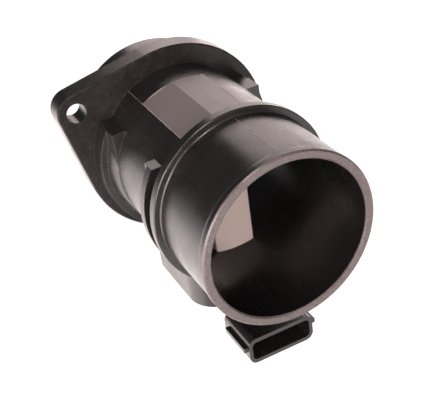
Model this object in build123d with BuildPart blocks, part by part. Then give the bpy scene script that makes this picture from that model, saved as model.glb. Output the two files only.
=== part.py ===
from build123d import *
import os
from math import cos, radians, sin

# Hot-film mass airflow sensor: one moulded duct with a two-hole flange and an
# inlet spigot at one end and a hose spigot at the other, and under it an
# electronics housing with a six-way connector. A bypass finger stands up from
# the housing into the bore.
#
# Frame: X along the bore, from the inlet (-X) to the outlet (+X), Z up, and the
# origin on the bore's axis in the flange's mounting face. All sizes are in mm.

os.makedirs("parts", exist_ok=True)

# ---------------------------------------------------------------- duct sizes
BORE_R = 31.35          # air passage
SPIGOT_WALL = 4.15      # inlet spigot, goes into the filter housing
TUBE_WALL = 2.25        # middle length of the duct
OUTLET_WALL = 3.15      # hose seat
BEAD_RISE = 0.4         # low hose bead behind the outlet rim
BEAD_LEN = 4.0
RIM_CHAMFER = 0.6       # broken edge all round the outlet rim
SPIGOT_LEN = 19.2
MID_LEN = 55.0          # flange face to collar
COLLAR_RISE = 2.9       # stop for the hose end, above the hose seat
COLLAR_T = 3.9
COLLAR_CHAMFER = 0.35
COLLAR_ROOT = 0.45       # small cone where the hose seat meets the collar
OUTLET_LEN = 35.1       # collar to outlet rim

# ------------------------------------------------------------- flange sizes
FLANGE_T = 9.0
FLANGE_RIM = 3.9        # round part of the outline, outside the half-hub
EAR_R = 8.0
BOLT_CIRCLE_R = 48.8    # bore axis to bolt axis
BOLT_HOLE_R = 4.2
BOLT_ANGLE = 147.4      # first ear, from +Y towards +Z
FLANGE_CHAMFER = 0.5

# ----------------------------------------- part-round ribs below RIB_TOP_Z
RIB_TOP_Z = 20.0        # the ribs stop at this height
RIB_RISE = 3.7          # above the tube
RIB_T = 3.8
RIB_GAP = 5.3           # groove between rib and collar
RIB_LUG_BACK = 2.9      # how far the rib's end lugs reach behind it
RIB_LUG_IN = 2.3        # lug's side plane inside the tube's radius
HUB_RISE = 4.5          # raised half-hub on the flange, above the tube
HUB_LEN = 8.0
HUB_CONE_LEN = 7.5
HUB_CONE_RISE = 1.9
HUB_LUG_BACK = 1.5
HUB_LUG_IN = 0.4

# --------------------------------------- two flats on top, for a bare label
PAD_START = 14.5        # from the flange face
PAD_LEN = 35.5
PAD_PROUD = 0.35
PAD_ANGLES = (122.4, 97.5, 74.0)   # outer edge, ridge, outer edge

# ------------------------------------------------------------ housing sizes
HOUSING_GAP = 3.0       # flange face to the housing's rear wall
HOUSING_LEN = 47.0
HOUSING_W = 40.8
CAVITY_H = 16.7         # ceiling to the inside of the cover
HOUSING_WALL = 2.4
FRONT_CORNER_R = 13.5
REAR_CORNER_R = 5.0
FLOOR_T = 4.65          # bore to the housing's ceiling
COVER_T = 1.8
COVER_LIP = 1.2         # wall left outside the cover's rebate
SEAL_T = 0.5            # bead under the cover
FIT = 0.15              # clearance round parts dropped into a recess
PAST = 0.5              # how far a cut runs past the face it breaks through
COVER_CHAMFER = 0.3

# ---------------------------------------------------------- connector sizes
CON_GAP = 6.0           # housing front to the back of the connector
CON_LEN = 21.0
CON_DROP = 3.85         # housing's underside to the row of terminals
NECK_W = 25.0           # neck that carries the terminals down to the connector
NECK_UP = 9.0           # housing's underside up to the neck's top
NECK_OVER = 5.0         # how far the neck reaches over the connector
SOCKET_W = 26.0
SOCKET_H = 8.5
SOCKET_DEEP = 14.0
SOCKET_ROUND = 1.9
SHROUD_SIDE = 1.5
SHROUD_TOP = 1.8
GUIDE_OUT = 1.8
GUIDE_T = 2.0
GUIDE_RAISE = 1.35      # guide ribs sit this far above the terminal row
GUIDE_BACK = 1.0        # and stop this far behind the mouth
GUIDE_START = 4.0       # and start this far from the connector's back
LATCH_W = 6.0
LATCH_LEN = 5.0
LATCH_H = 1.6
TERMINALS = 6
TERMINAL_PITCH = 4.0
TERMINAL_W = 1.0
TERMINAL_T = 0.6
TERMINAL_FREE = 9.0     # length standing in the socket

# ------------------------------------------------------ bypass finger sizes
FINGER_LEN = 27.0       # along the air flow
FINGER_SIDE = 11.9      # housing's side to the finger, room for the board's posts
FINGER_TOP_Z = 8.0
FINGER_BACK = 5.0       # finger's downstream face behind the housing's front
FINGER_ROUND = 0.8
PLATE_T = 2.5           # seating plate under the ceiling
PLATE_REAR = 7.0        # plate behind, beside and in front of the finger
PLATE_SIDE = 2.9
PLATE_FRONT = 2.2
PLATE_CLEAR = 0.4       # plate to the cavity wall and the board's posts
GASKET_W = 1.1
GASKET_T = 1.0
GASKET_OFF = 0.5        # gasket's inner edge outside the finger
CHANNEL_H = 8.0         # height of the bypass channel
CHANNEL_TURN_R = 2.6    # inner radius of its U-turn
CHANNEL_TOP_GAP = 3.0   # finger's top to the channel
CHANNEL_SKIN = 2.4      # wall on the closed side
BYPASS_COVER_T = 1.5
BYPASS_LIP = 1.6        # finger's edge round the bypass cover
BYPASS_FRONT_LIP = 1.2  # and along its downstream side
BYPASS_ROUND = 1.2
BYPASS_FIT = 0.1        # cover to its recess, all round
EXIT_IN = 2.6           # side exits of the channel, inside the cover's rear edge
EXIT_LEN = 5.5
EXIT_RIM = 0.3          # cover's opening inside the exit's
STRIP_W = 5.0           # ceramic strip that carries the hot film
STRIP_T = 0.7
CHIP_W = 3.0
CHIP_T = 0.35
BEAD_R = 1.25           # temperature bead
BEAD_H = 3.4
LEAD_W = 0.45
LEAD_PITCH = 1.5
WINDOW_W = 5.0          # opening round the temperature bead
WINDOW_H = 7.0
WINDOW_ROUND = 1.0
WINDOW_BELOW = 4.0      # channel down to the window
STRIP_TIP_GAP = 1.0     # strip's tip to the turn's inner wall
SCREW_R = 1.2
SCREW_IN = 3.2          # thread in the ceiling
SCREW_INSET = 3.8       # screw axis to the plate's rear edge
SCREW_SIDE = 2.0        # screw axis inside the finger's side
SCREW_HEAD_R = 2.3
SCREW_HEAD_T = 1.6

# ------------------------------------------------------- circuit board sizes
BOARD_T = 1.6
BOARD_CLEAR = 2.0       # board edge to the cavity wall
BOARD_UNDER = 6.1       # board to the cover
POST_R = 1.9
POST_INSET = 2.6        # post centre to the board's edge
TERMINAL_DROP = 3.4     # terminals' run below the board
TERMINAL_IN = 4.0       # board edge to the terminals' holes

# -------------------------------------------------------- inlet end sizes
SEAT_STEP = 1.95        # counterbore that holds the screen, wider than the bore
SEAT_DEPTH = 9.2
SCREEN_T = 1.2
SCREEN_PITCH = 6.0
SCREEN_BAR = 0.8
RING_LEN = 4.0
RING_WALL = 2.0
RING_ROUND = 0.5
SEAL_W = 2.6            # spigot seal, width along the bore
SEAL_H = 2.6            # and height, floor of its groove to the lips
SEAL_LIP = 0.7          # depth of the valley between its two lips
SEAL_PROUD = 0.6        # the lips above the spigot, pressed in by the housing's hole
SEAL_FROM_FLANGE = 3.8  # middle of the seal; past the chamfer at the hole's mouth

# ------------------------------------------------------------ worked-out sizes
spigot_r = BORE_R + SPIGOT_WALL
tube_r = BORE_R + TUBE_WALL
outlet_r = BORE_R + OUTLET_WALL
collar_r = outlet_r + COLLAR_RISE
rib_r = tube_r + RIB_RISE
hub_r = tube_r + HUB_RISE
flange_r = hub_r + FLANGE_RIM
seat_r = BORE_R + SEAT_STEP
spigot_end = -SPIGOT_LEN
collar_back = FLANGE_T + MID_LEN
collar_front = collar_back + COLLAR_T
outlet_end = collar_front + OUTLET_LEN
rib_front = collar_back - RIB_GAP
rib_back = rib_front - RIB_T
hub_front = FLANGE_T + HUB_LEN
cone_front = hub_front + HUB_CONE_LEN
housing_back = FLANGE_T + HOUSING_GAP
housing_front = housing_back + HOUSING_LEN
ceiling_z = -(BORE_R + FLOOR_T)
housing_depth = CAVITY_H + COVER_T - ceiling_z
con_depth = housing_depth + CON_DROP
neck_top = housing_depth - NECK_UP
cavity_x = (housing_back + HOUSING_WALL, housing_front - HOUSING_WALL)
cavity_mid = (housing_back + housing_front) / 2
con_back = housing_front + CON_GAP
con_mouth = con_back + CON_LEN
socket_floor = con_mouth - SOCKET_DEEP
shroud_h = SOCKET_H + 2 * SHROUD_TOP
shroud_w = SOCKET_W + 2 * SHROUD_SIDE
board_under_z = COVER_T - housing_depth + BOARD_UNDER
board_top_z = board_under_z + BOARD_T
finger_front = housing_front - FINGER_BACK
finger_back = finger_front - FINGER_LEN
finger_w = HOUSING_W - 2 * FINGER_SIDE
finger_mid = (finger_back + finger_front) / 2
board_x = (cavity_x[0] + BOARD_CLEAR, cavity_x[1] - BOARD_CLEAR)
board_half_w = HOUSING_W / 2 - HOUSING_WALL - BOARD_CLEAR
post_pts = [
    (x, y)
    for x in (board_x[0] + POST_INSET, board_x[1] - FRONT_CORNER_R + HOUSING_WALL + BOARD_CLEAR)
    for y in (-board_half_w + POST_INSET, board_half_w - POST_INSET)
]
screw_pts = [
    (finger_back - PLATE_REAR + SCREW_INSET, side * (finger_w / 2 - SCREW_SIDE)) for side in (-1, 1)
]
terminal_y = [(i - (TERMINALS - 1) / 2) * TERMINAL_PITCH for i in range(TERMINALS)]


def on_yz(radius, angle):
    """Point (y, z) at a radius from the bore axis, angle from +Y towards +Z."""
    return (radius * cos(radians(angle)), radius * sin(radians(angle)))


def x_plane(x):
    """Sketch plane across the bore: its x is Y, its y is Z, its normal is +X."""
    return Plane(origin=(x, 0, 0), x_dir=(0, 1, 0), z_dir=(1, 0, 0))


def z_plane(z):
    """Sketch plane in plan view at one height."""
    return Plane.XY.offset(z)


def save(builder, node):
    builder.part.label = node
    export_step(builder.part, f"parts/{node}.step")


# ================================================================= duct body
ear_pts = [on_yz(BOLT_CIRCLE_R, BOLT_ANGLE), on_yz(BOLT_CIRCLE_R, BOLT_ANGLE + 180)]
pad_back = FLANGE_T + PAD_START
pad_front = pad_back + PAD_LEN
pad_r = tube_r + PAD_PROUD
seal_x = -SEAL_FROM_FLANGE
seal_groove_r = spigot_r - SEAL_H + SEAL_PROUD


def housing_plan(inset):
    """Plan outline of the housing, moved inwards by inset."""
    front_r = max(FRONT_CORNER_R - inset, 0.5)
    rear_r = max(REAR_CORNER_R - inset, 0.5)
    with BuildSketch() as plan:
        with Locations((cavity_mid, 0)):
            Rectangle(HOUSING_LEN - 2 * inset, HOUSING_W - 2 * inset)
        fillet(plan.vertices().group_by(Axis.X)[-1], front_r)
        fillet(plan.vertices().filter_by(lambda v: v.X < cavity_mid - HOUSING_LEN / 2 + inset + 0.01), rear_r)
    return plan.sketch


# One terminal: a flat blade in the socket, bent up behind it, then run back
# through the neck, under the board and up through it.
bend_x = (con_back + min(con_back + NECK_OVER, socket_floor)) / 2 + TERMINAL_T
run_z = board_under_z - TERMINAL_DROP
hole_x = cavity_x[1] - BOARD_CLEAR - TERMINAL_IN
half_t = TERMINAL_T / 2
with BuildPart() as terminal_blank:
    with BuildSketch(Plane.XZ) as blade:
        with BuildLine():
            Polyline(
                (socket_floor + TERMINAL_FREE, -con_depth - half_t),
                (bend_x - half_t, -con_depth - half_t),
                (bend_x - half_t, run_z - half_t),
                (hole_x - half_t, run_z - half_t),
                (hole_x - half_t, board_top_z + 0.8),
                (hole_x + half_t, board_top_z + 0.8),
                (hole_x + half_t, run_z + half_t),
                (bend_x + half_t, run_z + half_t),
                (bend_x + half_t, -con_depth + half_t),
                (socket_floor + TERMINAL_FREE, -con_depth + half_t),
                close=True,
            )
        make_face()
    extrude(amount=TERMINAL_W / 2, both=True)
    chamfer(terminal_blank.edges().filter_by(Axis.Y).group_by(Axis.X)[-1], TERMINAL_T * 0.3)

with BuildPart() as duct_body:
    # Tube, collar and both spigots, as one turned form.
    with BuildSketch(Plane.XZ) as section:
        with BuildLine():
            Polyline(
                (spigot_end, BORE_R),
                (spigot_end, spigot_r),
                (0, spigot_r),
                (0, tube_r),
                (collar_back, tube_r),
                (collar_back, collar_r),
                (collar_front, collar_r),
                (collar_front, outlet_r + COLLAR_ROOT),
                (collar_front + COLLAR_ROOT, outlet_r),
                (outlet_end - BEAD_LEN, outlet_r),
                (outlet_end - BEAD_LEN * 0.7, outlet_r + BEAD_RISE),
                (outlet_end, outlet_r + BEAD_RISE),
                (outlet_end, BORE_R),
                close=True,
            )
        make_face()
        chamfer(section.vertices().group_by(Axis.X)[-1], RIM_CHAMFER)
        chamfer(section.vertices().filter_by(lambda v: v.Y > collar_r - 0.01), COLLAR_CHAMFER)
    revolve(axis=Axis.X)

    # Flange: the outline is a band drawn tight round the hub and two ears.
    with BuildSketch(x_plane(0)):
        Circle(flange_r)
        with Locations(*ear_pts):
            Circle(EAR_R)
        make_hull()
    extrude(amount=FLANGE_T)
    flange_front = duct_body.faces().filter_by(Plane.YZ).sort_by(lambda f: abs(f.center().X - FLANGE_T))[0]
    chamfer(flange_front.outer_wire().edges(), FLANGE_CHAMFER)

    # Half-hub on the flange and the rib behind the collar. Both are round, stop
    # at a level top and end in square lugs there.
    with BuildSketch(Plane.XZ):
        with BuildLine():
            Polyline(
                (FLANGE_T, BORE_R + 0.5),
                (FLANGE_T, hub_r),
                (hub_front, hub_r),
                (hub_front, tube_r + HUB_CONE_RISE),
                (cone_front, tube_r),
                (cone_front, BORE_R + 0.5),
                close=True,
            )
        make_face()
    half_hub = revolve(axis=Axis.X, mode=Mode.PRIVATE)
    with BuildSketch(x_plane(rib_back)):
        Circle(rib_r)
        Circle(BORE_R + 0.5, mode=Mode.SUBTRACT)
    rib_ring = extrude(amount=RIB_T, mode=Mode.PRIVATE)
    lower = Pos((FLANGE_T + rib_front) / 2, 0, RIB_TOP_Z - hub_r) * Box(
        rib_front - FLANGE_T, 2 * hub_r + 2, 2 * hub_r, mode=Mode.PRIVATE
    )
    add(half_hub & lower)
    add(rib_ring & lower)
    for back, front, half_w in (
        (hub_front - HUB_LUG_BACK, cone_front, tube_r - HUB_LUG_IN),
        (rib_back - RIB_LUG_BACK, rib_front, tube_r - RIB_LUG_IN),
    ):
        with BuildSketch(x_plane(back)):
            with Locations((0, RIB_TOP_Z / 2)):
                Rectangle(2 * half_w, RIB_TOP_Z)
            Circle(BORE_R + 0.5, mode=Mode.SUBTRACT)
        extrude(amount=front - back)

    # Two flats on top, standing just proud of the tube along their edges.
    with BuildSketch(x_plane(pad_back)):
        with BuildLine():
            outer = [on_yz(pad_r, a) for a in PAD_ANGLES]
            Polyline(*outer, *[on_yz(collar_r + 4, a) for a in reversed(PAD_ANGLES)], close=True)
        make_face()
    extrude(amount=PAD_LEN, mode=Mode.SUBTRACT)
    with BuildSketch(x_plane(pad_back)):
        with BuildLine():
            Polyline(*outer, *[on_yz(BORE_R + 0.6, a) for a in reversed(PAD_ANGLES)], close=True)
        make_face()
    extrude(amount=PAD_LEN)

    # Electronics housing and the neck towards the connector.
    with BuildSketch(z_plane(-housing_depth)):
        add(housing_plan(0))
    extrude(amount=housing_depth - BORE_R / 2)
    neck_bottom = con_depth - shroud_h / 2 + 0.8
    with BuildSketch(x_plane(cavity_x[1])):
        with Locations((0, -(neck_top + neck_bottom) / 2)):
            RectangleRounded(NECK_W, neck_bottom - neck_top, 0.8)
    extrude(amount=con_back + NECK_OVER - cavity_x[1])

    # Connector with its guide ribs and the ramp that the plug's latch rides over.
    with BuildSketch(x_plane(con_back)):
        with Locations((0, -con_depth)):
            RectangleRounded(shroud_w, shroud_h, SOCKET_ROUND + SHROUD_SIDE)
    extrude(amount=CON_LEN)
    with BuildSketch(x_plane(con_back + GUIDE_START)):
        with Locations((0, -con_depth + GUIDE_RAISE)):
            Rectangle(shroud_w + 2 * GUIDE_OUT, GUIDE_T)
    extrude(amount=CON_LEN - GUIDE_START - GUIDE_BACK)
    latch_z = -con_depth - shroud_h / 2
    with BuildSketch(Plane.XZ):
        with BuildLine():
            Polyline(
                (con_mouth - 2, latch_z + 0.5),
                (con_mouth - 2, latch_z),
                (con_mouth - 2 - LATCH_LEN, latch_z - LATCH_H),
                (con_mouth - 2 - LATCH_LEN, latch_z + 0.5),
                close=True,
            )
        make_face()
    extrude(amount=LATCH_W / 2, both=True)

    # Bore, and the counterbore that takes the inlet screen.
    with BuildSketch(x_plane(spigot_end)):
        Circle(BORE_R)
    extrude(amount=outlet_end - spigot_end - RIM_CHAMFER - 0.5, mode=Mode.SUBTRACT)
    with BuildSketch(x_plane(spigot_end)):
        Circle(seat_r)
    extrude(amount=SEAT_DEPTH, mode=Mode.SUBTRACT)

    # Groove for the inlet seal.
    with BuildSketch(Plane.XZ):
        with Locations((seal_x, seal_groove_r + SEAL_H)):
            Rectangle(SEAL_W + 2 * FIT, 2 * SEAL_H)
    revolve(axis=Axis.X, mode=Mode.SUBTRACT)

    # Bolt holes.
    with Locations(x_plane(FLANGE_T / 2)):
        with Locations(*ear_pts):
            Hole(BOLT_HOLE_R, depth=FLANGE_T)

    # Socket, cavity, cover rebate and the slot for the finger.
    with BuildSketch(x_plane(socket_floor)):
        with Locations((0, -con_depth)):
            RectangleRounded(SOCKET_W, SOCKET_H, SOCKET_ROUND)
    extrude(amount=SOCKET_DEEP, mode=Mode.SUBTRACT)
    with BuildSketch(z_plane(-housing_depth)):
        add(housing_plan(HOUSING_WALL))
    extrude(amount=housing_depth + ceiling_z, mode=Mode.SUBTRACT)
    with BuildSketch(z_plane(-housing_depth)):
        add(housing_plan(COVER_LIP))
    extrude(amount=COVER_T + SEAL_T, mode=Mode.SUBTRACT)
    with BuildSketch(z_plane(ceiling_z)):
        with Locations((finger_mid, 0)):
            RectangleRounded(FINGER_LEN + 2 * FIT, finger_w + 2 * FIT, FINGER_ROUND + FIT)
    extrude(amount=BORE_R, mode=Mode.SUBTRACT)

    # Posts that carry the board.
    with BuildSketch(z_plane(board_top_z)):
        with Locations(*post_pts):
            Circle(POST_R)
    extrude(amount=ceiling_z - board_top_z)

    # Pilot holes for the finger's screws.
    with BuildSketch(z_plane(ceiling_z)):
        with Locations(*screw_pts):
            Circle(SCREW_R + 0.05)
    extrude(amount=SCREW_IN + 0.2, mode=Mode.SUBTRACT)

    # The terminals are moulded in.
    for y in terminal_y:
        add(Pos(0, y, 0) * terminal_blank.part, mode=Mode.SUBTRACT)
save(duct_body, "duct_body")

# ============================================================ bypass finger
# The air enters at the upstream end near the top, makes a U-turn and leaves
# through a window in each side. The closed side is at -Y, the cover at +Y.
channel_top = FINGER_TOP_Z - CHANNEL_TOP_GAP
turn_out_r = CHANNEL_TURN_R + CHANNEL_H
turn_x = finger_front - CHANNEL_SKIN - turn_out_r
turn_z = channel_top - turn_out_r
channel_low = turn_z - turn_out_r
return_z = channel_low + CHANNEL_H / 2
cover_face_y = finger_w / 2
recess_y = cover_face_y - BYPASS_COVER_T
closed_y = -finger_w / 2 + CHANNEL_SKIN
exit_x = finger_back + BYPASS_LIP + EXIT_IN
strip_x = turn_x - STRIP_W / 4
strip_top = turn_z - CHANNEL_TURN_R - STRIP_TIP_GAP
bead_x = finger_back + BYPASS_LIP + WINDOW_W / 2
window_top = channel_low - WINDOW_BELOW
bead_z = window_top - WINDOW_H / 2


def y_plane(y):
    """Sketch plane facing +Y side-on: its x is X and its y is Z."""
    return Plane(origin=(0, y, 0), x_dir=(1, 0, 0), z_dir=(0, -1, 0))


def bypass_outline(gap):
    """The bypass cover's outline, gap smaller than its recess all round."""
    left, right = finger_back + gap, finger_front - BYPASS_FRONT_LIP - gap
    low, high = channel_low - BYPASS_LIP + gap, channel_top + BYPASS_LIP - gap
    with BuildSketch() as outline:
        with Locations(((left + right) / 2, (low + high) / 2)):
            RectangleRounded(right - left, high - low, BYPASS_ROUND)
    return outline.sketch


def gasket_plan(inner, outer):
    """Ring round the finger between two offsets from its section."""
    with BuildSketch() as ring:
        with Locations((finger_mid, 0)):
            RectangleRounded(FINGER_LEN + 2 * outer, finger_w + 2 * outer, FINGER_ROUND + outer)
            RectangleRounded(
                FINGER_LEN + 2 * inner, finger_w + 2 * inner, FINGER_ROUND + inner, mode=Mode.SUBTRACT
            )
    return ring.sketch


with BuildPart() as sensor_finger:
    with BuildSketch(z_plane(ceiling_z - PLATE_T)):
        with Locations(((finger_back - PLATE_REAR + finger_front + PLATE_FRONT) / 2, 0)):
            Rectangle(FINGER_LEN + PLATE_REAR + PLATE_FRONT, finger_w + 2 * PLATE_SIDE)
        add(housing_plan(HOUSING_WALL + PLATE_CLEAR), mode=Mode.INTERSECT)
        with Locations(*post_pts):
            Circle(POST_R + PLATE_CLEAR, mode=Mode.SUBTRACT)
    extrude(amount=PLATE_T)
    with BuildSketch(z_plane(ceiling_z)):
        with Locations((finger_mid, 0)):
            RectangleRounded(FINGER_LEN, finger_w, FINGER_ROUND)
    extrude(amount=FINGER_TOP_Z - ceiling_z)
    fillet(sensor_finger.faces().sort_by(Axis.Z)[-1].edges(), FINGER_ROUND)

    # U-shaped channel and the recess for its cover.
    with BuildSketch(y_plane(cover_face_y)):
        with BuildLine():
            Polyline(
                (turn_x, channel_low + CHANNEL_H),
                (exit_x, channel_low + CHANNEL_H),
                (exit_x, channel_low),
                (turn_x, channel_low),
            )
            CenterArc((turn_x, turn_z), turn_out_r, -90, 180)
            Polyline(
                (turn_x, channel_top),
                (finger_back - 1, channel_top),
                (finger_back - 1, channel_top - CHANNEL_H),
                (turn_x, channel_top - CHANNEL_H),
            )
            CenterArc((turn_x, turn_z), CHANNEL_TURN_R, 90, -180)
        make_face()
    extrude(amount=cover_face_y - closed_y, mode=Mode.SUBTRACT)
    with BuildSketch(y_plane(cover_face_y)):
        add(bypass_outline(0))
        with Locations((finger_back - 0.5, (channel_top + channel_low) / 2)):
            Rectangle(4, channel_top - channel_low + 2 * BYPASS_LIP)
    extrude(amount=BYPASS_COVER_T, mode=Mode.SUBTRACT)
    with BuildSketch(y_plane(0)):
        with Locations((exit_x + EXIT_LEN / 2, return_z)):
            Rectangle(EXIT_LEN, CHANNEL_H)
    extrude(amount=finger_w, mode=Mode.SUBTRACT)

    # Window round the temperature bead.
    with BuildSketch(y_plane(0)):
        with Locations((bead_x, bead_z)):
            RectangleRounded(WINDOW_W, WINDOW_H, WINDOW_ROUND)
    extrude(amount=finger_w, both=True, mode=Mode.SUBTRACT)

    # Slots for the ceramic strip and the bead's leads, gasket groove, screw holes.
    with BuildSketch(z_plane(ceiling_z - PLATE_T)):
        with Locations((strip_x, 0)):
            Rectangle(STRIP_W + 2 * FIT, STRIP_T + 2 * FIT)
    extrude(amount=channel_low - ceiling_z + PLATE_T + PAST, mode=Mode.SUBTRACT)
    with BuildSketch(z_plane(ceiling_z - PLATE_T)):
        with Locations(*[(bead_x, side * LEAD_PITCH / 2) for side in (-1, 1)]):
            Rectangle(LEAD_W + 2 * FIT, LEAD_W + 2 * FIT)
    extrude(amount=bead_z - WINDOW_H / 2 + PAST - ceiling_z + PLATE_T, mode=Mode.SUBTRACT)
    with BuildSketch(z_plane(ceiling_z)):
        add(gasket_plan(GASKET_OFF, GASKET_OFF + GASKET_W))
    extrude(amount=-GASKET_T, mode=Mode.SUBTRACT)
    with BuildSketch(z_plane(ceiling_z)):
        with Locations(*screw_pts):
            Circle(SCREW_R + FIT)
    extrude(amount=-PLATE_T, mode=Mode.SUBTRACT)
save(sensor_finger, "sensor_finger")

with BuildPart() as bypass_cover:
    with BuildSketch(y_plane(cover_face_y)):
        add(bypass_outline(BYPASS_FIT))
        with Locations((exit_x + EXIT_LEN / 2, return_z)):
            Rectangle(EXIT_LEN - 2 * EXIT_RIM, CHANNEL_H - 2 * EXIT_RIM, mode=Mode.SUBTRACT)
    extrude(amount=BYPASS_COVER_T)
save(bypass_cover, "bypass_cover")

with BuildPart() as finger_gasket:
    with BuildSketch(z_plane(ceiling_z)):
        add(gasket_plan(GASKET_OFF, GASKET_OFF + GASKET_W))
    extrude(amount=-GASKET_T)
save(finger_gasket, "finger_gasket")

# Ceramic strip, from the board up into the return leg of the channel.
with BuildPart() as sensor_strip:
    with BuildSketch(z_plane(board_top_z)):
        with Locations((strip_x, 0)):
            Rectangle(STRIP_W, STRIP_T)
    extrude(amount=strip_top - board_top_z)
save(sensor_strip, "sensor_strip")

with BuildPart() as hot_film_chip:
    with BuildSketch(y_plane(STRIP_T / 2 + CHIP_T)):
        with Locations((strip_x, return_z)):
            Rectangle(CHIP_W, CHIP_W)
    extrude(amount=CHIP_T)
save(hot_film_chip, "hot_film_chip")

# Intake temperature sensor: a glass bead on two stiff leads.
with BuildPart() as intake_temp_sensor:
    with BuildSketch(Plane.XZ) as glass:
        with Locations((bead_x, bead_z)):
            with Locations((BEAD_R / 2, 0)):
                Rectangle(BEAD_R, BEAD_H)
        chamfer(glass.vertices().group_by(Axis.X)[-1], BEAD_R * 0.6)
    revolve(axis=Axis((bead_x, 0, 0), (0, 0, 1)))
    with BuildSketch(z_plane(board_top_z)):
        with Locations(*[(bead_x, side * LEAD_PITCH / 2) for side in (-1, 1)]):
            Rectangle(LEAD_W, LEAD_W)
    extrude(amount=bead_z - board_top_z)
save(intake_temp_sensor, "intake_temp_sensor")

with BuildPart() as finger_screw:
    with BuildSketch(z_plane(ceiling_z - PLATE_T)):
        Circle(SCREW_R)
    extrude(amount=PLATE_T + SCREW_IN)
    chamfer(finger_screw.edges().sort_by(Axis.Z)[-1], SCREW_R * 0.5)
    with BuildSketch(z_plane(ceiling_z - PLATE_T)):
        Circle(SCREW_HEAD_R)
    extrude(amount=-SCREW_HEAD_T)
    with BuildSketch(z_plane(ceiling_z - PLATE_T - SCREW_HEAD_T)):
        for angle in (0, 90):
            with Locations(Rotation(0, 0, angle)):
                Rectangle(SCREW_HEAD_R * 1.1, 0.6)
    extrude(amount=SCREW_HEAD_T * 0.55, mode=Mode.SUBTRACT)
for number, point in enumerate(screw_pts, 1):
    with BuildPart() as placed:
        with Locations((*point, 0)):
            add(finger_screw.part)
    save(placed, f"finger_screw_{number}")

# ============================================================ circuit board
with BuildPart() as circuit_board:
    with BuildSketch(z_plane(board_under_z)):
        add(housing_plan(HOUSING_WALL + BOARD_CLEAR))
        with Locations(*[(hole_x, y) for y in terminal_y]):
            Rectangle(TERMINAL_T + 2 * FIT, TERMINAL_W + 2 * FIT, mode=Mode.SUBTRACT)
    extrude(amount=BOARD_T)
save(circuit_board, "circuit_board")

# Parts on the board's underside: name, length, width, height, and place as
# shares of the board's free area from its rear left corner.
BOARD_PARTS = (
    ("signal_processor", 9.0, 9.0, 1.5, 0.46, 0.50),
    ("bridge_amplifier", 6.0, 5.0, 1.3, 0.17, 0.30),
    ("supply_capacitor", 4.4, 3.2, 1.9, 0.17, 0.68),
    ("filter_capacitor_1", 2.4, 1.5, 1.1, 0.60, 0.12),
    ("filter_capacitor_2", 2.4, 1.5, 1.1, 0.60, 0.88),
    ("trim_resistor_1", 2.2, 1.4, 0.7, 0.36, 0.12),
    ("trim_resistor_2", 2.2, 1.4, 0.7, 0.36, 0.88),
)
for node, length, width, height, along, across in BOARD_PARTS:
    with BuildPart() as component:
        with BuildSketch(z_plane(board_under_z)):
            with Locations(
                (board_x[0] + along * (board_x[1] - board_x[0]), (2 * across - 1) * (board_half_w - 1))
            ):
                Rectangle(length, width)
        extrude(amount=-height)
    save(component, node)

for number, y in enumerate(terminal_y, 1):
    with BuildPart() as terminal:
        with Locations((0, y, 0)):
            add(terminal_blank.part)
    save(terminal, f"terminal_{number}")

# =========================================================== housing closure
with BuildPart() as cover_seal:
    with BuildSketch(z_plane(-housing_depth + COVER_T)):
        add(housing_plan(COVER_LIP + FIT))
        add(housing_plan(HOUSING_WALL + FIT), mode=Mode.SUBTRACT)
    extrude(amount=SEAL_T)
save(cover_seal, "cover_seal")

with BuildPart() as housing_cover:
    with BuildSketch(z_plane(-housing_depth)):
        add(housing_plan(COVER_LIP + FIT))
    extrude(amount=COVER_T)
    chamfer(housing_cover.faces().sort_by(Axis.Z)[0].edges(), COVER_CHAMFER)
save(housing_cover, "housing_cover")

# ================================================================ inlet end
with BuildPart() as spigot_seal:
    with BuildSketch(Plane.XZ):
        with BuildLine():
            Polyline(
                (seal_x - SEAL_W / 2, seal_groove_r),
                (seal_x - SEAL_W / 2, seal_groove_r + SEAL_H - SEAL_LIP),
                (seal_x - SEAL_W / 4, seal_groove_r + SEAL_H),
                (seal_x, seal_groove_r + SEAL_H - SEAL_LIP),
                (seal_x + SEAL_W / 4, seal_groove_r + SEAL_H),
                (seal_x + SEAL_W / 2, seal_groove_r + SEAL_H - SEAL_LIP),
                (seal_x + SEAL_W / 2, seal_groove_r),
                close=True,
            )
        make_face()
    revolve(axis=Axis.X)
save(spigot_seal, "spigot_seal")

screen_x = spigot_end + SEAT_DEPTH - SCREEN_T
screen_r = seat_r - FIT
mesh_r = BORE_R - 0.2
cells = int(2 * mesh_r / SCREEN_PITCH) + 2


def screen_openings():
    """Square openings of the screen, cut off at its rim."""
    with BuildSketch() as openings:
        with GridLocations(SCREEN_PITCH, SCREEN_PITCH, cells, cells):
            Rectangle(SCREEN_PITCH - SCREEN_BAR, SCREEN_PITCH - SCREEN_BAR)
        Circle(mesh_r, mode=Mode.INTERSECT)
    return openings.sketch


with BuildPart() as inlet_screen:
    with BuildSketch(x_plane(screen_x)):
        Circle(screen_r)
        add(screen_openings(), mode=Mode.SUBTRACT)
    extrude(amount=SCREEN_T)
save(inlet_screen, "inlet_screen")

with BuildPart() as screen_ring:
    with BuildSketch(Plane.XZ):
        with BuildLine():
            Polyline(
                (screen_x - RING_LEN, screen_r),
                (screen_x, screen_r),
                (screen_x, screen_r - RING_WALL),
                (screen_x - RING_LEN, screen_r - RING_WALL + RING_ROUND),
                close=True,
            )
        make_face()
    revolve(axis=Axis.X)
save(screen_ring, "screen_ring")
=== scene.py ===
# %% [markdown]
# # Mass airflow sensor
# A moulded plastic duct that sits between an engine's air filter and its intake
# hose. Everything here is dressed around fixed solids: they hold the sizes, and
# these cells give them their finish, the fine lines that the mould leaves with
# their painted highlight, the light and the camera.

# %% Load the solids
import math

import bpy
from mathutils import Matrix, Vector


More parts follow.
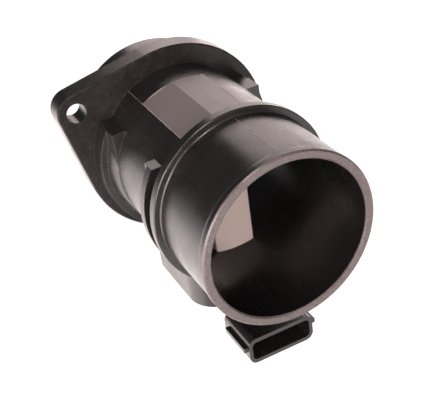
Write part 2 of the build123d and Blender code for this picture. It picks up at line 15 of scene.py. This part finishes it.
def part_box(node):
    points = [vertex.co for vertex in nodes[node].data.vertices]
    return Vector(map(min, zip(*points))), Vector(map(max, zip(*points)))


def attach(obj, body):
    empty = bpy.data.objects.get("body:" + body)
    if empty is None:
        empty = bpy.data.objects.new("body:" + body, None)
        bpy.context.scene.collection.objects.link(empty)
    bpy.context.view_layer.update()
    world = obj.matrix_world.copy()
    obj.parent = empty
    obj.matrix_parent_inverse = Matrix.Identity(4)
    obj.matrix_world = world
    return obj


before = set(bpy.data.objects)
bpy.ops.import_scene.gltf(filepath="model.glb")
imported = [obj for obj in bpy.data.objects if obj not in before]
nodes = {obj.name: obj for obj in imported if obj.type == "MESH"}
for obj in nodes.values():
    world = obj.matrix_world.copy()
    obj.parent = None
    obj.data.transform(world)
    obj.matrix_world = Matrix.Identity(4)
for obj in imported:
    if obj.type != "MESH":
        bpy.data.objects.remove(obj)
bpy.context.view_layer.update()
MM = 0.001
print("solids:", len(nodes))

# %% [markdown]
# The bore's axis is the X axis, and the flange's mounting face is X = 0. The duct's
# lowest point is the ramp under the connector, which the plug's latch rides over.
# Its height could be typed in, but it is read from the solid, so that the floor
# follows it.

# %% Lowest point
floor_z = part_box("duct_body")[0].z
print("lowest point: z =", round(floor_z / MM, 2), "mm")

# %% [markdown]
# Colours are written as they look on a screen, in sRGB hex. Blender's shaders
# want linear light, so one function turns the first into the second. A node takes
# several lines to add, set and link, so one function does all three, which keeps
# each material short.

# %% Helpers for colour and nodes
MIX_SHARE, MIX_FIRST, MIX_SECOND, MIX_RESULT = 0, 6, 7, 2  # the Mix node's sockets for colour


def linear(hex_colour):
    """Linear RGBA from an sRGB hex colour."""
    parts = [int(hex_colour[i:i + 2], 16) / 255 for i in (1, 3, 5)]
    return [c / 12.92 if c <= 0.04045 else ((c + 0.055) / 1.055) ** 2.4 for c in parts] + [1.0]


def add_node(tree, kind, settings=None, inputs=None):
    """Adds a node. An input's value may be another node's output, which is linked."""
    made = tree.nodes.new(kind)
    for name, value in (settings or {}).items():
        setattr(made, name, value)
    for name, value in (inputs or {}).items():
        if isinstance(value, bpy.types.NodeSocket):
            tree.links.new(value, made.inputs[name])
        else:
            made.inputs[name].default_value = value
    return made


def new_material(name):
    """An empty material with its output node."""
    material = bpy.data.materials.new(name)
    material.use_nodes = True
    material.node_tree.nodes.clear()
    return material, material.node_tree, add_node(material.node_tree, "ShaderNodeOutputMaterial")


print("the grey #808080 in linear light:", round(linear("#808080")[0], 3))

# %% [markdown]
# Most of the small pieces need the same three things from their finish: a
# slightly uneven colour, a roughness that varies a little, and a fine relief.
# Each could have nodes of its own, but one function makes them all, and each
# piece's own numbers say what it is made of.

# %% A plain finish with uneven colour, gloss and relief
RELIEF_STRENGTH = 0.35


def plain_finish(name, colour, second, gloss, dull, patch_mm, grain_mm, relief_mm, metallic=0.0, ior=1.5):
    """A material from two close colours, a range of roughness and a fine relief."""
    material, tree, output = new_material(name)
    place = add_node(tree, "ShaderNodeTexCoord").outputs["Object"]
    patch = add_node(tree, "ShaderNodeTexNoise", None, {
        "Vector": place, "Scale": 1 / (patch_mm * MM), "Detail": 3.0}).outputs["Fac"]
    shade = add_node(tree, "ShaderNodeMix", {"data_type": "RGBA"}, {
        MIX_SHARE: patch, MIX_FIRST: linear(colour), MIX_SECOND: linear(second)}).outputs[MIX_RESULT]
    rough = add_node(tree, "ShaderNodeMapRange", None, {
        "Value": patch, "From Min": 0.3, "From Max": 0.7, "To Min": gloss, "To Max": dull}).outputs[0]
    grain = add_node(tree, "ShaderNodeTexNoise", None, {
        "Vector": place, "Scale": 1 / (grain_mm * MM), "Detail": 2.0}).outputs["Fac"]
    skin = add_node(tree, "ShaderNodeBump", None, {
        "Height": grain, "Distance": relief_mm * MM, "Strength": RELIEF_STRENGTH}).outputs["Normal"]
    shader = add_node(tree, "ShaderNodeBsdfPrincipled", None, {
        "Base Color": shade, "Roughness": rough, "Metallic": metallic, "IOR": ior, "Normal": skin})
    tree.links.new(shader.outputs["BSDF"], output.inputs["Surface"])
    return material


print("plain finish ready, with a relief strength of", RELIEF_STRENGTH)

# %% [markdown]
# The duct is one moulding with several skins. The polished pin that leaves the
# bore makes it smooth and dark. The two flats on top are dull, from handling and
# from the coarser tool there, and their pale colour is a painted highlight for the
# light that they catch. The flange's face is coarser too. The outlet's rim is grey,
# partly where the hose rubs it and partly as a painted reflection of the floor. Each
# skin could be a material on faces of its own, but the solids' meshes are left as
# they are. So each point's place says which skin it has: its X, its distance from
# the bore's axis, and its angle round that axis.

# %% Where each skin of the duct lies
# lengths in mm, and angles in degrees from +Y towards +Z
BORE_SKIN_R, OUTSIDE_R = 31.6, 32.5
PAD_FROM, PAD_TO = 23.5, 59.0
PAD_RIGHT_TURN, PAD_LEFT_TURN = 74.0, 122.4
FLANGE_FRONT, FACE_REACH = 9.0, 0.4
RIM_FROM, RIM_TO = 102.3, 103.4
PAD_FADE, FACE_FADE = 0.2, 0.1
TURN_FADE_RAD = 0.004


def between(tree, value, low, high, fade):
    """1 while the value lies between low and high, with a soft edge."""
    rise = add_node(tree, "ShaderNodeMapRange", None, {
        "Value": value, "From Min": low - fade, "From Max": low}).outputs[0]
    fall = add_node(tree, "ShaderNodeMapRange", None, {
        "Value": value, "From Min": high, "From Max": high + fade, "To Min": 1.0, "To Max": 0.0}).outputs[0]
    return add_node(tree, "ShaderNodeMath", {"operation": "MULTIPLY"}, {0: rise, 1: fall}).outputs[0]


def skin_masks(tree, place):
    """The bore, the flats, the flange's face and the outlet's rim: each 1 on it and 0 off it."""
    axes = add_node(tree, "ShaderNodeSeparateXYZ", None, {"Vector": place}).outputs
    z_squared = add_node(tree, "ShaderNodeMath", {"operation": "MULTIPLY"}, {
        0: axes["Z"], 1: axes["Z"]}).outputs[0]
    squares = add_node(tree, "ShaderNodeMath", {"operation": "MULTIPLY_ADD"}, {
        0: axes["Y"], 1: axes["Y"], 2: z_squared}).outputs[0]
    radius = add_node(tree, "ShaderNodeMath", {"operation": "SQRT"}, {0: squares}).outputs[0]
    turn = add_node(tree, "ShaderNodeMath", {"operation": "ARCTAN2"}, {0: axes["Z"], 1: axes["Y"]}).outputs[0]
    bore = add_node(tree, "ShaderNodeMath", {"operation": "LESS_THAN"}, {
        0: radius, 1: BORE_SKIN_R * MM}).outputs[0]
    outside = add_node(tree, "ShaderNodeMath", {"operation": "GREATER_THAN"}, {
        0: radius, 1: OUTSIDE_R * MM}).outputs[0]
    pad_along = between(tree, axes["X"], PAD_FROM * MM, PAD_TO * MM, PAD_FADE * MM)
    pad_around = between(tree, turn, math.radians(PAD_RIGHT_TURN), math.radians(PAD_LEFT_TURN), TURN_FADE_RAD)
    pad = add_node(tree, "ShaderNodeMath", {"operation": "MULTIPLY"}, {
        0: pad_along, 1: pad_around}).outputs[0]
    pad = add_node(tree, "ShaderNodeMath", {"operation": "MULTIPLY"}, {0: outside, 1: pad}).outputs[0]
    face = between(tree, axes["X"], (FLANGE_FRONT - FACE_REACH) * MM, (FLANGE_FRONT + FACE_REACH) * MM,
                   FACE_FADE * MM)
    face = add_node(tree, "ShaderNodeMath", {"operation": "MULTIPLY"}, {0: outside, 1: face}).outputs[0]
    rim = between(tree, axes["X"], RIM_FROM * MM, RIM_TO * MM, FACE_FADE * MM)
    return bore, pad, face, rim


print("the flats run from x =", PAD_FROM, "to", PAD_TO, "mm")

# %% [markdown]
# Use leaves marks: pale flecks of dust, most of them on the flange's face, and light
# scuffs on that face. The outlet's rim is grey, partly where the hose rubs it and
# partly as a painted reflection of the floor. They could be painted on by hand, but
# noise does it all round, and a range picks how much of it shows.

# %% Dust, scuffs, and the rim's rub and painted reflection
# the flecks are drawn larger than real dust, so that they show
FLECK_MM, SCUFF_MM = 0.9, 2.5
DUST_RANGE, DUST_MOST = (0.64, 0.74), 0.7
DUST_ANYWHERE, DUST_ON_FACE = 0.12, 0.8
SCUFF_RANGE, SCUFF_MOST = (0.47, 0.70), 0.15
# the rim's grey is partly rub and partly a painted reflection of the floor
RUB_AND_SHEEN_RANGE, RUB_AND_SHEEN_LEAST = (0.30, 0.65), 0.45


def wear_and_rim_sheen(tree, place, face, rim):
    """How much dust and scuffing there is at each point, and how much rub with painted reflection on the rim.
    """
    fleck = add_node(tree, "ShaderNodeTexNoise", None, {
        "Vector": place, "Scale": 1 / (FLECK_MM * MM), "Detail": 4.0, "Roughness": 0.75}).outputs["Fac"]
    dust = add_node(tree, "ShaderNodeMapRange", None, {
        "Value": fleck, "From Min": DUST_RANGE[0], "From Max": DUST_RANGE[1], "To Max": DUST_MOST}).outputs[0]
    dusty = add_node(tree, "ShaderNodeMath", {"operation": "MULTIPLY_ADD"}, {
        0: face, 1: DUST_ON_FACE, 2: DUST_ANYWHERE}).outputs[0]
    dust = add_node(tree, "ShaderNodeMath", {"operation": "MULTIPLY"}, {0: dust, 1: dusty}).outputs[0]
    smear = add_node(tree, "ShaderNodeTexNoise", None, {
        "Vector": place, "Scale": 1 / (SCUFF_MM * MM), "Detail": 6.0, "Roughness": 0.8}).outputs["Fac"]
    scuff = add_node(tree, "ShaderNodeMapRange", None, {
        "Value": smear, "From Min": SCUFF_RANGE[0], "From Max": SCUFF_RANGE[1],
        "To Max": SCUFF_MOST}).outputs[0]
    scuff = add_node(tree, "ShaderNodeMath", {"operation": "MULTIPLY"}, {0: scuff, 1: face}).outputs[0]
    # the rim's share of grey: partly rub, partly a painted reflection
    rim_rub_and_sheen = add_node(tree, "ShaderNodeMapRange", None, {
        "Value": fleck, "From Min": RUB_AND_SHEEN_RANGE[0], "From Max": RUB_AND_SHEEN_RANGE[1], "To Min": RUB_AND_SHEEN_LEAST}).outputs[0]
    rim_rub_and_sheen = add_node(tree, "ShaderNodeMath", {"operation": "MULTIPLY"}, {0: rim, 1: rim_rub_and_sheen}).outputs[0]
    return dust, scuff, rim_rub_and_sheen


print("dust flecks of about", FLECK_MM, "mm, scuffs of about", SCUFF_MM, "mm")

# %% [markdown]
# The duct's plastic is black PBT, a tough polyester, with a third of short glass
# fibre. It is moulded in a finely eroded steel tool, so it has a soft gloss, a very
# fine grain, and cloudy patches where the fibre lies closer to the skin.
# Its edges are broken by a fraction of a millimetre, which catches the light. A
# Bevel modifier would cut that into the solid, so the Bevel node is used instead:
# it rounds only the shading, and leaves the mesh alone.

# %% Black glass-filled PBT
# the grain is drawn coarser and deeper than such a tool leaves it, so that it shows
CLOUD_MM, GRAIN_MM, GRAIN_DEPTH_MM, EDGE_MM = 9.0, 0.28, 0.05, 0.3
CLOUD_RANGE = (0.35, 0.68)
# roughness of the clouds, and what the flats and the bore change in it
GLOSS, DULL, PAD_CHANGE, BORE_CHANGE = 0.23, 0.32, 0.14, -0.02
# a plastic's index of refraction is about 1.5: it is raised until the skin mirrors as
# strongly as the real one does, and less so on the flange's face and in the bore
SKIN_IOR, FACE_IOR_CHANGE, BORE_IOR_CHANGE = 1.8, -0.35, -0.42


def glass_filled_pbt(name, colour, cloud_colour, bore_colour, painted_light_pad_colour, scuff_and_rim_sheen_colour, dust_colour):
    """Moulded black PBT, with a skin for each part of the tool, its dust, scuffs and rub, a painted highlight
    on the flats and a painted reflection on the rim.
    """
    material, tree, output = new_material(name)
    place = add_node(tree, "ShaderNodeTexCoord").outputs["Object"]
    bore, pad, face, rim = skin_masks(tree, place)
    dust, scuff, rim_rub_and_sheen = wear_and_rim_sheen(tree, place, face, rim)
    cloud = add_node(tree, "ShaderNodeTexNoise", None, {
        "Vector": place, "Scale": 1 / (CLOUD_MM * MM), "Detail": 4.0, "Roughness": 0.6}).outputs["Fac"]
    rough = add_node(tree, "ShaderNodeMapRange", None, {
        "Value": cloud, "From Min": CLOUD_RANGE[0], "From Max": CLOUD_RANGE[1],
        "To Min": GLOSS, "To Max": DULL}).outputs[0]
    for mask, change in ((pad, PAD_CHANGE), (bore, BORE_CHANGE)):
        rough = add_node(tree, "ShaderNodeMath", {"operation": "MULTIPLY_ADD"}, {
            0: mask, 1: change, 2: rough}).outputs[0]
    mirror = SKIN_IOR
    for mask, change in ((face, FACE_IOR_CHANGE), (bore, BORE_IOR_CHANGE)):
        mirror = add_node(tree, "ShaderNodeMath", {"operation": "MULTIPLY_ADD"}, {
            0: mask, 1: change, 2: mirror}).outputs[0]
    shade = linear(colour)
    # the flats' pale colour is a painted highlight, and the rim's grey is partly rub and partly a painted
    # reflection
    for share, over in ((cloud, cloud_colour), (bore, bore_colour), (pad, painted_light_pad_colour),
                        (scuff, scuff_and_rim_sheen_colour), (rim_rub_and_sheen, scuff_and_rim_sheen_colour), (dust, dust_colour)):
        shade = add_node(tree, "ShaderNodeMix", {"data_type": "RGBA"}, {
            MIX_SHARE: share, MIX_FIRST: shade, MIX_SECOND: linear(over)}).outputs[MIX_RESULT]
    grain = add_node(tree, "ShaderNodeTexNoise", None, {
        "Vector": place, "Scale": 1 / (GRAIN_MM * MM), "Detail": 3.0, "Roughness": 0.7}).outputs["Fac"]
    edge = add_node(tree, "ShaderNodeBevel", {"samples": 6}, {"Radius": EDGE_MM * MM}).outputs[0]
    skin = add_node(tree, "ShaderNodeBump", None, {
        "Height": grain, "Distance": GRAIN_DEPTH_MM * MM, "Strength": RELIEF_STRENGTH,
        "Normal": edge}).outputs["Normal"]
    shader = add_node(tree, "ShaderNodeBsdfPrincipled", None, {
        "Base Color": shade, "Roughness": rough, "IOR": mirror, "Normal": skin})
    tree.links.new(shader.outputs["BSDF"], output.inputs["Surface"])
    return material


# near-black satin skin, with a smooth dark bore, dull flats painted pale as a painted highlight, and a grey
# rim, partly rubbed and partly a painted reflection
duct_plastic = glass_filled_pbt(
    "black_glass_filled_pbt", "#1c1b1b", "#262424", "#1b1b1b", "#9b9594", "#746b6a", "#b9aeac")
print("duct plastic made")

# %% [markdown]
# The other materials are those of the real pieces: grey PBT for the finger and
# its cover, rubber and silicone for the seals, glass-fibre laminate for the
# board, and so on. Flat colours would do for what is hidden, but a cut or opened
# view shows all of it, so each gets its own finish. Each call's comment says what
# it gives the eye. Its numbers are the roughness from glossiest to dullest, the
# size of the patches and the grain, the relief's depth, and how metallic it is. The
# grains are coarser than the real ones too, so that they show.

# %% The other materials
materials = {
    # near-white painted highlight on the raised lines where the mould's halves meet
    "painted_line_highlight": plain_finish("painted_highlight_pbt_line", "#ece6e2", "#cfc8c4", 0.35, 0.50, 2.0, 0.2, 0.01),
    # pale grey moulding, a little warm, satin, with a faint grain
    "grey_pbt": plain_finish("grey_pbt_channel", "#e4dad4", "#d8ccc6", 0.38, 0.46, 7.0, 0.3, 0.03),
    # black moulding like the duct's, for the cover that is welded to it
    "cover_pbt": plain_finish("black_pbt_cover", "#1c1919", "#272222", 0.32, 0.45, 9.0, 0.28, 0.05, ior=1.8),
    # black nylon, smoother than the duct
    "nylon": plain_finish("black_nylon_screen", "#191717", "#221f1f", 0.30, 0.38, 5.0, 0.25, 0.02),
    # dark rubber, dull and slightly brown
    "rubber": plain_finish("fluoro_rubber_seal", "#232020", "#2e2a28", 0.60, 0.75, 4.0, 0.35, 0.04),
    # translucent-looking grey silicone bead
    "silicone": plain_finish("grey_silicone_bead", "#8d8f92", "#7f8184", 0.45, 0.60, 3.0, 0.5, 0.06),
    # green solder mask over woven glass
    "laminate": plain_finish("green_glass_epoxy_laminate", "#1f5a36", "#27663f", 0.28, 0.40, 6.0, 0.5, 0.02),
    # black moulding resin of the chips
    "resin": plain_finish("black_chip_resin", "#1b1b1c", "#242425", 0.55, 0.70, 1.2, 0.12, 0.02),
    # tan ceramic of the capacitors
    "capacitor": plain_finish("tan_capacitor_ceramic", "#a98f6a", "#b79c78", 0.40, 0.55, 1.0, 0.15, 0.01),
    # white alumina strip
    "alumina": plain_finish("white_alumina_strip", "#e4e0d8", "#d9d4ca", 0.45, 0.60, 2.0, 0.2, 0.01),
    # dark, mirror-smooth silicon
    "silicon": plain_finish("polished_silicon_film", "#3a3d46", "#444852", 0.08, 0.14, 1.0, 0.2, 0.002, 0.6),
    # glass bead over the thermistor
    "bead_glass": plain_finish("amber_bead_glass", "#8a5a2a", "#9a6733", 0.06, 0.12, 1.0, 0.2, 0.002),
    # tinned brass blades, soft silver
    "tin": plain_finish("tinned_brass", "#c9c6c0", "#bdb9b1", 0.22, 0.34, 1.5, 0.15, 0.01, 1.0),
    # zinc-plated steel screws, bluish
    "zinc": plain_finish("zinc_plated_steel", "#b5bac0", "#a5abb3", 0.25, 0.40, 1.0, 0.12, 0.01, 1.0),
}
print("other materials:", len(materials))

# %% [markdown]
# Each solid gets the material of the real piece. A line of code for each solid
# would do, but a table by name is shorter, and like pieces share an entry: the
# number at the end of their names is left off. The duct isn't in the table, and
# gets its own plastic.

# %% Give the solids their finish
FINISHES = {
    "sensor_finger": "grey_pbt", "bypass_cover": "grey_pbt", "housing_cover": "cover_pbt",
    "inlet_screen": "nylon", "screen_ring": "nylon", "spigot_seal": "rubber",
    "finger_gasket": "silicone", "cover_seal": "silicone", "circuit_board": "laminate",
    "signal_processor": "resin", "bridge_amplifier": "resin", "trim_resistor": "resin",
    "supply_capacitor": "capacitor", "filter_capacitor": "capacitor", "sensor_strip": "alumina",
    "hot_film_chip": "silicon", "intake_temp_sensor": "bead_glass", "terminal": "tin", "finger_screw": "zinc",
}
for name, solid in nodes.items():
    solid.data.materials.clear()
    kind = FINISHES.get(name) or FINISHES.get(name.rstrip("0123456789").rstrip("_"))
    solid.data.materials.append(materials[kind] if kind else duct_plastic)
    print(name, "->", solid.data.materials[0].name)

# %% [markdown]
# Where the halves of the mould meet, a moulding keeps a fine raised line. It could
# be a bump in the material, but a bump doesn't catch the light as the real line
# does. So each is a bar drawn in to a narrow crest, half sunk in the skin, and its
# near-white colour is a painted highlight for the light that the real line catches.

# %% Mould lines, with a painted highlight
TUBE_R, OUTLET_R, PAD_EDGE_R = 33.6, 34.5, 33.9
CREST_SHARE = 0.3
FACING_UP = 0.9


def finish_piece(piece, material):
    """Puts the piece's place into its mesh, and gives it its body and finish."""
    bpy.ops.object.transform_apply(location=True, rotation=True, scale=True)
    piece.data.materials.append(material)
    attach(piece, "root")


def mould_line(name, x_from, x_to, turn_deg, radius, width, proud):
    """A raised line along the duct, at an angle from +Y towards +Z. Lengths in mm."""
    turn = math.radians(turn_deg)
    bpy.ops.object.select_all(action="DESELECT")
    bpy.ops.mesh.primitive_cube_add(size=1.0)
    line = bpy.context.object
    line.name = name
    line.scale = ((x_to - x_from) * MM, width * MM, 2 * proud * MM)
    bpy.ops.object.transform_apply(location=False, rotation=False, scale=True)
    for face in line.data.polygons:
        face.select = face.normal.z > FACING_UP
    bpy.ops.object.mode_set(mode="EDIT")
    bpy.context.tool_settings.mesh_select_mode = (False, False, True)
    bpy.ops.transform.resize(value=(1.0, CREST_SHARE, 1.0))
    bpy.ops.object.mode_set(mode="OBJECT")
    line.location = Vector((x_from + x_to, 2 * radius * math.cos(turn), 2 * radius * math.sin(turn))) / 2 * MM
    line.rotation_euler = (turn - math.pi / 2, 0, 0)
    finish_piece(line, materials["painted_line_highlight"])
    print(name, "runs from x =", x_from, "to", x_to, "mm")


# each line's near-white colour is a painted highlight; the wide bar along the flats' left edge stands for
# that edge's highlight
mould_line("mould_line_flange_to_pad", FLANGE_FRONT, PAD_FROM, PAD_LEFT_TURN, TUBE_R, 0.34, 0.22)
mould_line("pad_edge_painted_highlight", PAD_FROM, PAD_TO, PAD_LEFT_TURN, PAD_EDGE_R, 0.80, 0.28)
mould_line("mould_line_pad_right", 39.0, 52.0, 74.5, PAD_EDGE_R, 0.20, 0.12)
mould_line("mould_line_outlet", 69.0, 98.5, 90.0, OUTLET_R, 0.18, 0.07)

# %% [markdown]
# A pin pushes the moulding out of its tool, and its round end leaves a fine
# raised ring. There is one on the front of the left lug by the flange. A torus
# makes it in one step, and is then flattened, since the real ring stands low.

# %% Ejector ring
RING_PLACE = Vector((24.5, -30.0, 17.5)) * MM
RING_R, RING_BEAD_R, RING_FLAT = 1.3, 0.12, 0.6
bpy.ops.object.select_all(action="DESELECT")
bpy.ops.mesh.primitive_torus_add(
    major_radius=RING_R * MM, minor_radius=RING_BEAD_R * MM, major_segments=40, minor_segments=8)
ring = bpy.context.object
ring.name = "ejector_ring"
bpy.ops.object.mode_set(mode="EDIT")
bpy.ops.transform.resize(value=(1.0, 1.0, RING_FLAT))
bpy.ops.object.mode_set(mode="OBJECT")
ring.location = RING_PLACE
ring.rotation_euler = (0, math.pi / 2, 0)
bpy.ops.object.shade_smooth()
finish_piece(ring, duct_plastic)
print("ejector ring:", len(ring.data.polygons), "faces")

# %% [markdown]
# The part is shown over white paper, which lies a little below it and runs out of
# sight. More light would whiten the paper and spoil the part, so the paper has a
# share of its own light, which only the camera and reflections see. What the lamps
# leave on it is a soft shadow.

# %% Floor
PAPER_DROP, PAPER_SIZE = 0.03, 40.0
PAPER_GLOW, PAPER_MIRRORED = 0.80, 0.5
bpy.ops.object.select_all(action="DESELECT")
bpy.ops.mesh.primitive_plane_add(size=PAPER_SIZE, location=(0, 0, floor_z - PAPER_DROP))
paper = bpy.context.object
paper.name = "paper_floor"
material, tree, output = new_material("white_paper")
path = add_node(tree, "ShaderNodeLightPath")
diffuse = add_node(tree, "ShaderNodeBsdfDiffuse", None, {"Color": linear("#f4f4f4")})
seen = add_node(tree, "ShaderNodeMath", {"operation": "MULTIPLY"}, {
    0: path.outputs["Is Camera Ray"], 1: PAPER_GLOW}).outputs[0]
glow = add_node(tree, "ShaderNodeMath", {"operation": "MULTIPLY_ADD"}, {
    0: path.outputs["Is Glossy Ray"], 1: PAPER_MIRRORED, 2: seen}).outputs[0]
lift = add_node(tree, "ShaderNodeEmission", None, {"Color": linear("#ffffff"), "Strength": glow})
both = add_node(tree, "ShaderNodeAddShader", None, {0: diffuse.outputs[0], 1: lift.outputs[0]})
tree.links.new(both.outputs[0], output.inputs["Surface"])
paper.data.materials.append(material)
print("paper floor at z =", round((floor_z - PAPER_DROP) / MM, 1), "mm")

# %% [markdown]
# A white room round the part would fill its dark skin with pale reflections. So
# the world gives the part little light, and Light Path's Is Camera Ray makes it
# bright only where the camera sees it behind the part, to go with the paper.

# %% World
WORLD_LIGHT, WORLD_SEEN = 0.08, 0.87
world = bpy.data.worlds.new("studio")
bpy.context.scene.world = world
world.use_nodes = True
world.node_tree.nodes.clear()
out = add_node(world.node_tree, "ShaderNodeOutputWorld")
path = add_node(world.node_tree, "ShaderNodeLightPath")
strength = add_node(world.node_tree, "ShaderNodeMapRange", None, {
    "Value": path.outputs["Is Camera Ray"], "To Min": WORLD_LIGHT, "To Max": WORLD_SEEN})
back = add_node(world.node_tree, "ShaderNodeBackground", None, {
    "Color": (1, 1, 1, 1), "Strength": strength.outputs[0]})
world.node_tree.links.new(back.outputs[0], out.inputs["Surface"])
print("world: strength", WORLD_LIGHT, "on the part, and", WORLD_SEEN, "to the camera")

# %% [markdown]
# Black plastic shows little of its own colour: what the eye reads as its shape
# is the soft lamps that it mirrors. One large lamp would light all sides alike, so
# each lamp is placed where one group of faces looks. None of them is in view.

# %% Lamps
CENTRE = Vector((0.045, 0.0, -0.005))
LAMP_COLOUR = "#ffece9"


def softbox(name, place, facing, width, height, brightness):
    """A flat lamp facing a point, its sides in metres. A brightness of 1 is that of white paper."""
    bpy.ops.object.light_add(type="AREA", location=place)
    lamp = bpy.context.object
    lamp.name = name
    lamp.rotation_euler = (Vector(facing) - Vector(place)).to_track_quat("-Z", "Y").to_euler()
    lamp.data.shape = "RECTANGLE"
    lamp.data.size = width
    lamp.data.size_y = height
    lamp.data.energy = brightness * math.pi * width * height
    lamp.data.color = linear(LAMP_COLOUR)[:3]
    lamp.visible_camera = False
    print(name, "is", width, "by", height, "m, brightness", brightness)


def away(direction, distance):
    """The point that far from the duct's middle."""
    return CENTRE + Vector(direction).normalized() * distance


softbox("back_softbox", away((-0.80, 0.42, 0.435), 0.9), CENTRE, 0.58, 0.6, 2.0)
softbox("right_softbox", away((-0.77, 0.62, -0.15), 0.9), CENTRE, 0.32, 0.45, 2.3)
softbox("front_softbox", away((0.80, 0.25, 0.55), 1.0), CENTRE, 0.5, 0.5, 1.9)
softbox("edge_softbox_left", away((0.55, -0.80, 0.15), 0.9), CENTRE, 0.16, 0.5, 11.0)
softbox("edge_softbox_top", away((0.60, -0.15, 0.77), 0.9), CENTRE, 0.16, 0.3, 8.0)

# %% [markdown]
# Faces that look down mirror the floor. A floor that is brighter all over would
# light them alike and flatten their shape, so two panels lie just above it and
# shine upwards where they are wanted. A small bright lamp in front reaches down the
# bore to the sensing finger's face.

# %% Low panels and the lamp for the bore
PANEL_LIFT = 0.005
PANEL_Z = floor_z - PAPER_DROP + PANEL_LIFT
UP = Vector((0, 0, 1))
FINGER_MIDDLE = Vector((0.054, -0.003, -0.012))
low_place = Vector((-0.22, 0.04, PANEL_Z))
side_place = Vector((0.10, -0.34, PANEL_Z))
softbox("low_panel", low_place, low_place + UP, 0.56, 0.7, 1.05)
softbox("side_panel", side_place, side_place + UP, 0.5, 0.4, 2.2)
softbox("bore_softbox", Vector((0.75, -0.20, 0.10)), FINGER_MIDDLE, 0.16, 0.16, 30.0)

# %% [markdown]
# The camera looks into the outlet from in front and above. It stands fairly close,
# so the near rim looks large against the flange behind it. It could be turned by
# three angles, but a point to aim at and a roll are easier to read and to change.

# %% Camera
CAMERA_PLACE = Vector((0.33698, -0.12398, 0.19092))
CAMERA_AIM = Vector((0.01066, 0.01183, -0.03595))
CAMERA_ROLL_DEG = -8.49
CAMERA_LENS_MM, SENSOR_WIDTH_MM = 77.73, 36.0
CAMERA_FAR = 60.0
bpy.ops.object.camera_add(location=CAMERA_PLACE)
camera = bpy.context.object
look = (CAMERA_AIM - CAMERA_PLACE).to_track_quat("-Z", "Y").to_matrix()
camera.rotation_euler = (look @ Matrix.Rotation(math.radians(CAMERA_ROLL_DEG), 3, "Z")).to_euler()
camera.data.lens = CAMERA_LENS_MM
camera.data.sensor_width = SENSOR_WIDTH_MM
camera.data.clip_end = CAMERA_FAR
bpy.context.scene.camera = camera
print("right", [round(v, 4) for v in camera.rotation_euler.to_matrix().col[0]])
bpy.context.scene.view_settings.view_transform = "Standard"
